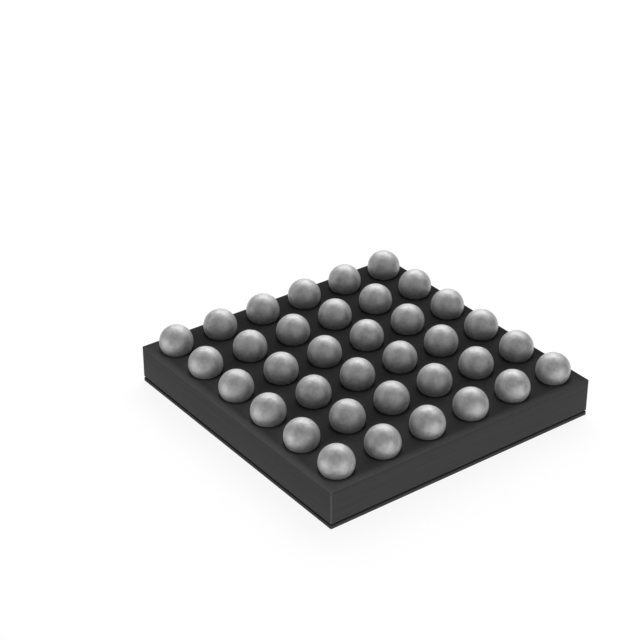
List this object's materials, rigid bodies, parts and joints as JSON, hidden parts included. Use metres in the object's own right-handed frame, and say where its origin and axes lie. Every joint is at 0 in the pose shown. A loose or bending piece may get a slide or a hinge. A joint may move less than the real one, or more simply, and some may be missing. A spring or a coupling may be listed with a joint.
{
  "type": "bga chip",
  "caption": "Square wafer-level chip with a grid of solder balls on its active face and a protective film on its back. It is soldered ball side down to a circuit board.",
  "frame": {"origin": "middle of the back film's outer face, which is the face the chip lies on", "axes": "+Z out of the ball side, at right angles to the faces; X and Y along the rows and columns of balls and the sawn sides"},
  "size_m": [0.0024, 0.0024, 0.0005],
  "materials": {
    "film": "cured black resin film",
    "adhesive": "black glue line",
    "silicon": "sawn, matte dark grey",
    "dielectric": "dark polymer coat",
    "copper": "plated copper",
    "solder": "satin, as melted"
  },
  "bodies": {
    "root": {"backside_film": "film", "film_adhesive": "adhesive", "silicon_die": "silicon", "lower_dielectric": "dielectric", "redistribution_traces": "copper", "upper_dielectric": "dielectric", "under_bump_pads": "copper", "ball_a1": "solder", "ball_a2": "solder", "ball_a3": "solder", "ball_a4": "solder", "ball_a5": "solder", "ball_a6": "solder", "ball_b1": "solder", "ball_b2": "solder", "ball_b3": "solder", "ball_b4": "solder", "ball_b5": "solder", "ball_b6": "solder", "ball_c1": "solder", "ball_c2": "solder", "ball_c3": "solder", "ball_c4": "solder", "ball_c5": "solder", "ball_c6": "solder", "ball_d1": "solder", "ball_d2": "solder", "ball_d3": "solder", "ball_d4": "solder", "ball_d5": "solder", "ball_d6": "solder", "ball_e1": "solder", "ball_e2": "solder", "ball_e3": "solder", "ball_e4": "solder", "ball_e5": "solder", "ball_e6": "solder", "ball_f1": "solder", "ball_f2": "solder", "ball_f3": "solder", "ball_f4": "solder", "ball_f5": "solder", "ball_f6": "solder"}
  },
  "joints": []
}
